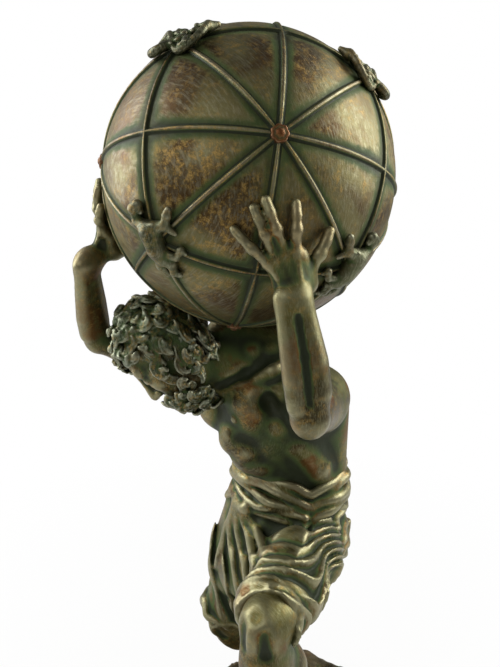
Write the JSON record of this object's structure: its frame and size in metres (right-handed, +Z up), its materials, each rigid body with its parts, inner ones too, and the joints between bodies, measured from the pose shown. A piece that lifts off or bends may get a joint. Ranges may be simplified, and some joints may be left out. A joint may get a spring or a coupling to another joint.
{
  "type": "atlas statuette",
  "caption": "Bronze statuette of a bearded man in a draped cloth who bears a banded globe on neck and hands, one foot on a rock, on a low plinth.",
  "frame": {"origin": "centre of the plinth's flat underside", "axes": "+Z up; the man's chest faces -Y and his left side is +X"},
  "size_m": [0.1177, 0.1612, 0.304],
  "materials": {
    "figure_bronze": "aged bronze patina with rubbed highlights and green recesses, satin",
    "globe_bronze": "aged bronze patina, brushed and cloudy, satin",
    "base_bronze": "dark aged bronze patina, satin"
  },
  "bodies": {
    "root": {"atlas": "figure_bronze", "globe": "globe_bronze", "base": "base_bronze"}
  },
  "joints": []
}
